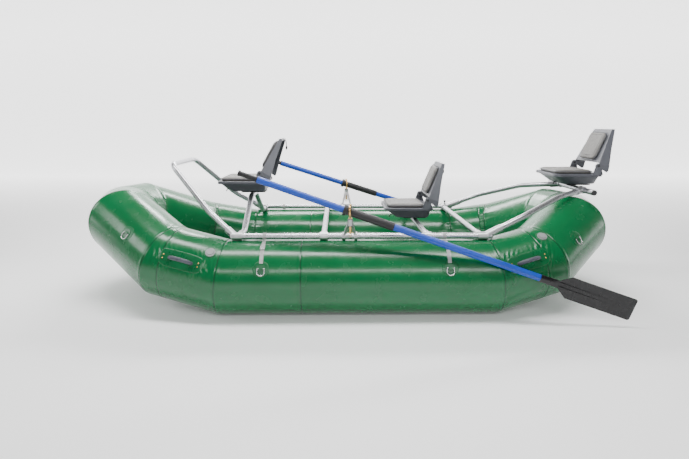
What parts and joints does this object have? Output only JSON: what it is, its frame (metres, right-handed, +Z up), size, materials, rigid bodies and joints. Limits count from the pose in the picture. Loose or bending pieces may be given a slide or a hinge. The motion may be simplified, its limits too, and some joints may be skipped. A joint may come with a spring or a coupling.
{
  "type": "inflatable fishing raft with rowing frame",
  "caption": "Inflatable drift raft: mitred air tubes, laced-in floor, aluminium rowing frame, swivelling folding seats, casting loop, and oars in turning oarlocks.",
  "frame": {"origin": "on the ground under the middle of the hull, half way between its bow and its stern", "axes": "+X runs aft along the hull, from the bow to the stern; +Y is starboard; +Z is up"},
  "size_m": [4.1197, 2.0178, 1.2728],
  "materials": {
    "black_plastic": "satin",
    "black_rubber": "matte",
    "black_steel": "satin",
    "blade_plastic": "satin",
    "buckle_metal": "satin",
    "cast_aluminium": "satin",
    "floor_fabric": "matte",
    "frame_aluminium": "satin",
    "handle_rubber": "matte",
    "hull_fabric": "satin",
    "hull_patch": "matte",
    "oar_blue": "gloss",
    "oarlock_brass": "polished",
    "seat_cushion": "matte",
    "seat_plastic": "satin",
    "steel_wire": "satin",
    "valve_plastic": "satin",
    "webbing": "matte"
  },
  "bodies": {
    "root": {"bar_fittings": "cast_aluminium", "casting_loop": "frame_aluminium", "chamber_bow": "hull_fabric", "chamber_port": "hull_fabric", "chamber_starboard": "hull_fabric", "chamber_stern": "hull_fabric", "d_rings": "steel_wire", "floor": "floor_fabric", "foot_bar": "frame_aluminium", "frame_knob": "black_plastic", "front_fitting_port": "cast_aluminium", "front_fitting_starboard": "cast_aluminium", "handle_grips": "handle_rubber", "handle_pads": "hull_patch", "oarlock_bushes": "black_plastic", "oarlock_stand_port": "cast_aluminium", "oarlock_stand_starboard": "cast_aluminium", "rail_port": "frame_aluminium", "rail_starboard": "frame_aluminium", "rear_bar": "frame_aluminium", "rear_fitting_port": "cast_aluminium", "rear_fitting_starboard": "cast_aluminium", "ring_patches": "hull_patch", "seat_arch": "frame_aluminium", "seat_bar": "frame_aluminium", "seat_mount_front": "black_steel", "seat_mount_middle": "black_steel", "seat_mount_stern": "black_steel", "stern_arm_port": "frame_aluminium", "stern_arm_starboard": "frame_aluminium", "stern_bar": "frame_aluminium", "strap_buckles": "buckle_metal", "straps": "webbing", "tube_plugs": "black_plastic", "valves": "valve_plastic"},
    "oarlock_turn_port": {"oarlock_port": "oarlock_brass"},
    "oar_tilt_port": {"oar_sleeve_port": "black_rubber"},
    "oar_port": {"oar_shaft_port": "oar_blue", "oar_grip_port": "black_rubber", "oar_blade_port": "blade_plastic"},
    "oarlock_turn_starboard": {"oarlock_starboard": "oarlock_brass"},
    "oar_tilt_starboard": {"oar_sleeve_starboard": "black_rubber"},
    "oar_starboard": {"oar_shaft_starboard": "oar_blue", "oar_grip_starboard": "black_rubber", "oar_blade_starboard": "blade_plastic"},
    "seat_front": {"seat_swivel_front": "black_steel", "seat_base_front": "seat_plastic", "seat_pad_front": "seat_cushion"},
    "seat_back_front": {"seat_back_front": "seat_plastic", "back_pad_front": "seat_cushion"},
    "seat_middle": {"seat_swivel_middle": "black_steel", "seat_base_middle": "seat_plastic", "seat_pad_middle": "seat_cushion"},
    "seat_back_middle": {"seat_back_middle": "seat_plastic", "back_pad_middle": "seat_cushion"},
    "seat_stern": {"seat_swivel_stern": "black_steel", "seat_base_stern": "seat_plastic", "seat_pad_stern": "seat_cushion"},
    "seat_back_stern": {"seat_back_stern": "seat_plastic", "back_pad_stern": "seat_cushion"}
  },
  "joints": [
    {"name": "oarlock_yaw_port", "type": "hinge", "parent": "root", "child": "oarlock_turn_port", "pos_m": [0, -0.8, 0.74225], "axis": [0, 0, -1], "range_deg": [0, 92]},
    {"name": "oar_tilt_port", "type": "hinge", "parent": "oarlock_turn_port", "child": "oar_tilt_port", "pos_m": [0, -0.8, 0.74225], "axis": [-0.1097, -0.994, 0], "range_deg": [0, 20]},
    {"name": "oar_feather_port", "type": "hinge", "parent": "oar_tilt_port", "child": "oar_port", "pos_m": [0, -0.8, 0.74225], "axis": [0.9426, -0.1041, -0.3173], "continuous": true},
    {"name": "oarlock_yaw_starboard", "type": "hinge", "parent": "root", "child": "oarlock_turn_starboard", "pos_m": [0, 0.8, 0.74225], "axis": [0, 0, 1], "range_deg": [0, 92]},
    {"name": "oar_tilt_starboard", "type": "hinge", "parent": "oarlock_turn_starboard", "child": "oar_tilt_starboard", "pos_m": [0, 0.8, 0.74225], "axis": [0.1097, -0.994, 0], "range_deg": [0, 20]},
    {"name": "oar_feather_starboard", "type": "hinge", "parent": "oar_tilt_starboard", "child": "oar_starboard", "pos_m": [0, 0.8, 0.74225], "axis": [0.9426, 0.1041, -0.3173], "continuous": true},
    {"name": "seat_swivel_front", "type": "hinge", "parent": "root", "child": "seat_front", "pos_m": [-0.755, 0, 0.785], "axis": [0, 0, 1], "continuous": true},
    {"name": "back_fold_front", "type": "hinge", "parent": "seat_front", "child": "seat_back_front", "pos_m": [-0.68, 0, 0.941], "axis": [0, -1, 0], "range_deg": [0, 118]},
    {"name": "seat_swivel_middle", "type": "hinge", "parent": "root", "child": "seat_middle", "pos_m": [0.54, 0, 0.5749], "axis": [0, 0, 1], "continuous": true},
    {"name": "back_fold_middle", "type": "hinge", "parent": "seat_middle", "child": "seat_back_middle", "pos_m": [0.615, 0, 0.7309], "axis": [0, -1, 0], "range_deg": [0, 110]},
    {"name": "seat_swivel_stern", "type": "hinge", "parent": "root", "child": "seat_stern", "pos_m": [1.845, 0, 0.83865], "axis": [0, 0, 1], "continuous": true},
    {"name": "back_fold_stern", "type": "hinge", "parent": "seat_stern", "child": "seat_back_stern", "pos_m": [1.92, 0, 0.99465], "axis": [0, -1, 0], "range_deg": [0, 110]}
  ]
}
